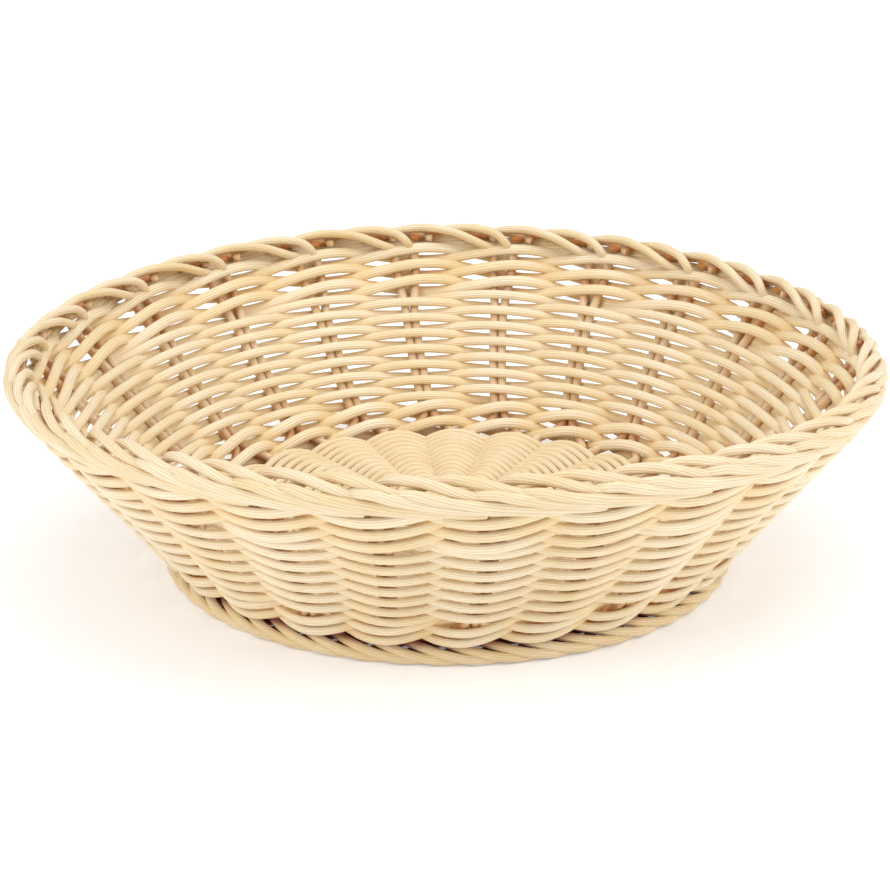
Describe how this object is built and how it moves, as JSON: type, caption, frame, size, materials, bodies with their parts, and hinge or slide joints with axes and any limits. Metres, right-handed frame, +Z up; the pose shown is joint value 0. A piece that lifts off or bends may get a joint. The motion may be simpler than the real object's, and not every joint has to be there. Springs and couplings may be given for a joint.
{
  "type": "bread basket",
  "caption": "Round open bread basket of woven plastic cane with a flared wall, rolled rim border, plaited foot and woven base.",
  "frame": {"origin": "centre of the foot's resting face", "axes": "+Z up through the open mouth; X and Y across the round basket"},
  "size_m": [0.25, 0.25, 0.065],
  "materials": {
    "stake_cane": "satin extruded polypropylene cane, cream, fine lengthwise grooves",
    "weaver_cane": "satin extruded polypropylene cane, light cream, fine lengthwise grooves",
    "base_cane": "satin extruded polypropylene cane, cream, fine lengthwise grooves"
  },
  "bodies": {
    "root": {"base_rod_lower_01": "base_cane", "base_rod_lower_02": "base_cane", "base_rod_lower_03": "base_cane", "base_rod_lower_04": "base_cane", "base_rod_lower_05": "base_cane", "base_rod_lower_06": "base_cane", "base_rod_upper_01": "base_cane", "base_rod_upper_02": "base_cane", "base_rod_upper_03": "base_cane", "base_rod_upper_04": "base_cane", "base_rod_upper_05": "base_cane", "base_rod_upper_06": "base_cane", "base_weave": "base_cane", "bottom_round_first_01": "weaver_cane", "bottom_round_first_02": "weaver_cane", "bottom_round_second_01": "weaver_cane", "bottom_round_second_02": "weaver_cane", "foot_border": "weaver_cane", "rim_border": "stake_cane", "side_weaver_first": "weaver_cane", "side_weaver_second": "weaver_cane", "stake_pair_01": "stake_cane", "stake_pair_02": "stake_cane", "stake_pair_03": "stake_cane", "stake_pair_04": "stake_cane", "stake_pair_05": "stake_cane", "stake_pair_06": "stake_cane", "stake_pair_07": "stake_cane", "stake_pair_08": "stake_cane", "stake_pair_09": "stake_cane", "stake_pair_10": "stake_cane", "stake_pair_11": "stake_cane", "stake_pair_12": "stake_cane", "stake_pair_13": "stake_cane", "stake_pair_14": "stake_cane", "stake_pair_15": "stake_cane", "stake_pair_16": "stake_cane", "stake_pair_17": "stake_cane", "stake_pair_18": "stake_cane", "stake_pair_19": "stake_cane", "stake_pair_20": "stake_cane", "stake_pair_21": "stake_cane", "stake_pair_22": "stake_cane", "stake_pair_23": "stake_cane", "stake_pair_24": "stake_cane", "top_round_first_01": "weaver_cane", "top_round_first_02": "weaver_cane", "top_round_first_03": "weaver_cane", "top_round_second_01": "weaver_cane", "top_round_second_02": "weaver_cane", "top_round_second_03": "weaver_cane"}
  },
  "joints": []
}
